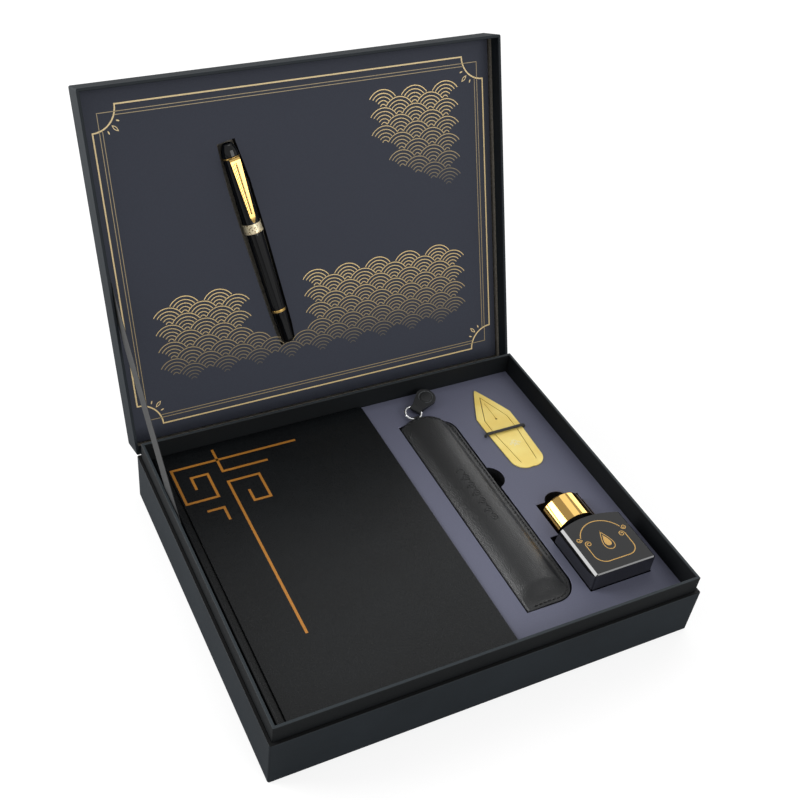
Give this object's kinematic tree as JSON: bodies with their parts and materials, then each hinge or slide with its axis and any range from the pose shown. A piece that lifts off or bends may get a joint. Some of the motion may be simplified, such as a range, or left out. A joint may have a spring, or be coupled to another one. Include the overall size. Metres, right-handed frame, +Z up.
{
  "type": "calligraphy set box",
  "caption": "Hinged shoulder box in black paper, open, that holds a notebook, leather pen pouch, fountain pen, ink bottle and brass nib bookmark in fitted foam",
  "frame": {"origin": "middle of the base's footprint, on the face it rests on", "axes": "+X right, +Y to the hinge at the back, +Z up; the lid stands open"},
  "size_m": [0.28, 0.3297, 0.2506],
  "materials": {
    "grey_board": "grey recycled board",
    "wrap_paper": "matt uncoated black paper",
    "hinge_cloth": "black bookbinding cloth",
    "insert_card": "matt lavender-grey paper",
    "lining_card": "matt slate paper printed in gold",
    "foam": "black closed-cell foam",
    "elastic": "black covered elastic cord",
    "ribbon": "dark grey satin ribbon",
    "leatherette": "black fine-grained leatherette",
    "pages": "cream book paper",
    "endpaper": "black endpaper",
    "headband": "gold and black woven band",
    "pouch_leather": "black grained leather",
    "pull_leather": "black leather",
    "ring_steel": "polished nickel plate",
    "bookmark_brass": "satin brass",
    "bottle_glass": "clear glass",
    "ink": "black ink",
    "cap_gold": "polished gold plate",
    "cap_plastic": "black moulded plastic",
    "seal_foam": "white foam liner",
    "lacquer": "black lacquer",
    "pen_gold": "polished gold plate",
    "pen_plastic": "black moulded plastic",
    "nib_metal": "polished gold plate",
    "converter_plastic": "clear plastic with a metal collar"
  },
  "bodies": {
    "base": {"base_tray": "grey_board", "base_wrap": "wrap_paper", "base_sheet": "wrap_paper", "neck": "wrap_paper", "hinge_cloth": "hinge_cloth", "insert_foam": "foam", "insert_card": "insert_card", "book_riser": "foam", "bookmark_elastic": "elastic", "ribbon_stay": "ribbon"},
    "lid": {"lid_tray": "grey_board", "lid_wrap": "wrap_paper", "lid_foam": "foam", "lid_lining": "lining_card"},
    "notebook": {"spine_board": "leatherette", "back_cover": "leatherette", "page_block": "pages", "back_endpaper": "endpaper", "headbands": "headband", "cover_joint": "leatherette"},
    "notebook_cover": {"front_cover": "leatherette", "front_endpaper": "endpaper"},
    "pouch": {"pouch_leather": "pouch_leather", "ring_keeper": "pouch_leather"},
    "pull": {"pull_ring": "ring_steel", "pull_tab": "pull_leather"},
    "bookmark": {"bookmark_plate": "bookmark_brass"},
    "bottle": {"bottle_glass": "bottle_glass", "ink": "ink"},
    "cap_seal": {"cap_seal": "seal_foam"},
    "cap": {"cap_insert": "cap_plastic", "cap_shell": "cap_gold"},
    "pen": {"pen_finial": "lacquer", "clip_ring": "pen_gold", "pen_cap": "lacquer", "cap_band": "pen_gold", "pen_clip": "pen_gold", "inner_cap": "pen_plastic", "grip_section": "pen_plastic", "nib": "nib_metal", "feed": "pen_plastic", "converter": "converter_plastic", "pen_barrel": "lacquer", "barrel_ring": "pen_gold", "pen_tail": "lacquer"}
  },
  "joints": [
    {"name": "lid_hinge", "type": "hinge", "parent": "base", "child": "lid", "pos_m": [0, 0.115, 0.0354], "axis": [-1, 0, 0], "range_deg": [-110.5, 0], "deforming": ["hinge_cloth", "ribbon_stay"]},
    {"name": "notebook_lift", "type": "slide", "parent": "base", "child": "notebook", "axis": [0, 0, 1], "range_m": [0, 0.045]},
    {"name": "cover_hinge", "type": "hinge", "parent": "notebook", "child": "notebook_cover", "pos_m": [-0.1262, 0.0018, 0.0317], "axis": [0, -1, 0], "range_deg": [0, 95], "deforming": ["cover_joint"]},
    {"name": "pouch_lift", "type": "slide", "parent": "base", "child": "pouch", "axis": [0, 0, 1], "range_m": [0, 0.04]},
    {"name": "pull_swing", "type": "hinge", "parent": "pouch", "child": "pull", "pos_m": [0.0486, 0.0845, 0.0344], "axis": [1, 0, 0], "range_deg": [-2, 75]},
    {"name": "bookmark_slide", "type": "slide", "parent": "base", "child": "bookmark", "axis": [0, 1, 0], "range_m": [-0.033, 0.011]},
    {"name": "bottle_lift", "type": "slide", "parent": "base", "child": "bottle", "axis": [0, 0, 1], "range_m": [0, 0.05]},
    {"name": "cap_rise", "type": "slide", "parent": "bottle", "child": "cap_seal", "axis": [0, 1, 0], "range_m": [0, 0.003]},
    {"name": "cap_turn", "type": "hinge", "parent": "cap_seal", "child": "cap", "pos_m": [0.1011, -0.0284, 0.0279], "axis": [0, 1, 0], "range_deg": [0, 360]},
    {"name": "pen_lift", "type": "slide", "parent": "lid", "child": "pen", "axis": [0, -0.9367, 0.3502], "range_m": [0, 0.03]}
  ],
  "couplings": [
    {"joint": "cap_turn", "follows": "cap_rise", "rad_per_m": 2094.4}
  ]
}
